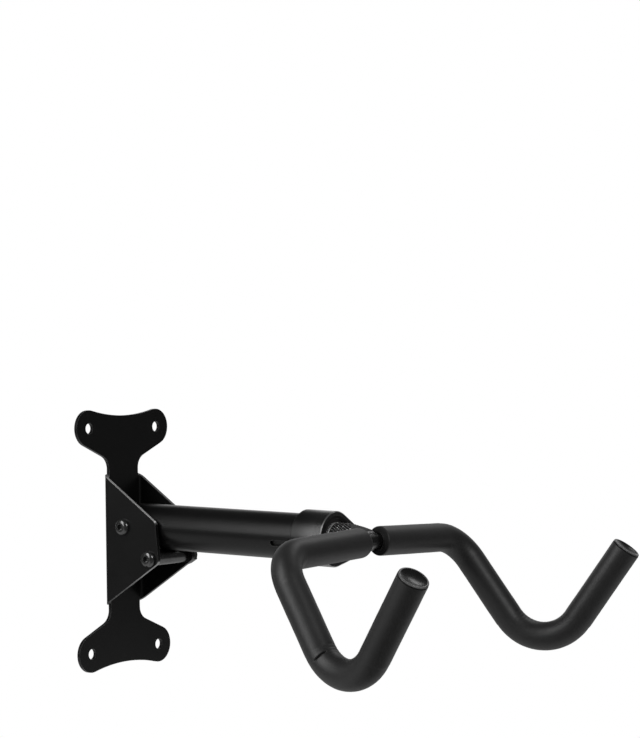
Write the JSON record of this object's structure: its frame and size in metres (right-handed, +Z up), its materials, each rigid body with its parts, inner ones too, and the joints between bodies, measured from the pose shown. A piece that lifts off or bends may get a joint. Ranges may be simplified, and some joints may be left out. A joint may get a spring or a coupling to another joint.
{
  "type": "bicycle wall rack",
  "caption": "Folding bicycle wall rack: bent steel bracket, tube arm that swings up on a bolt, and a clamped turning yoke with foam-covered hooks.",
  "frame": {"origin": "centre of the bracket's back face, midway between the four wall holes, on the wall", "axes": "+Z up, +X to the right of someone facing the wall, +Y into the wall; the rack reaches out along -Y"},
  "size_m": [0.3328, 0.4133, 0.221],
  "materials": {
    "coated_steel": "satin black powder coat",
    "blackened_steel": "black oxide, lightly oiled",
    "knurled_steel": "blackened, bright on the tips of the knurl",
    "bearing_plastic": "smooth dark nylon",
    "foam": "matt closed-cell foam",
    "cap_plastic": "moulded, glossy"
  },
  "bodies": {
    "bracket": {"wall_bracket": "coated_steel", "pivot_bolt": "blackened_steel", "pivot_sleeve": "blackened_steel", "pivot_washer": "blackened_steel", "pivot_nut": "blackened_steel", "stop_bolt": "blackened_steel", "stop_spacer": "blackened_steel", "stop_washer": "blackened_steel", "stop_nut": "blackened_steel"},
    "arm": {"arm_tube": "coated_steel", "pivot_bush_left": "bearing_plastic", "pivot_bush_right": "bearing_plastic", "clamp_collar": "coated_steel", "clamp_bolt": "blackened_steel", "stem_liner": "bearing_plastic"},
    "yoke": {"yoke_stem": "knurled_steel", "hook_rod": "coated_steel", "weld_bead_upper": "coated_steel", "weld_bead_lower": "coated_steel", "foam_sleeve_left": "foam", "foam_sleeve_right": "foam", "end_cap_left": "cap_plastic", "end_cap_right": "cap_plastic"}
  },
  "joints": [
    {"name": "arm_fold", "type": "hinge", "parent": "bracket", "child": "arm", "pos_m": [0, -0.0225, 0.0115], "axis": [-1, 0, 0], "range_deg": [0, 91.7]},
    {"name": "yoke_roll", "type": "hinge", "parent": "arm", "child": "yoke", "pos_m": [0, -0.21192, 0.00588], "axis": [0, -0.9996, -0.0297], "range_deg": [-45, 45]}
  ]
}
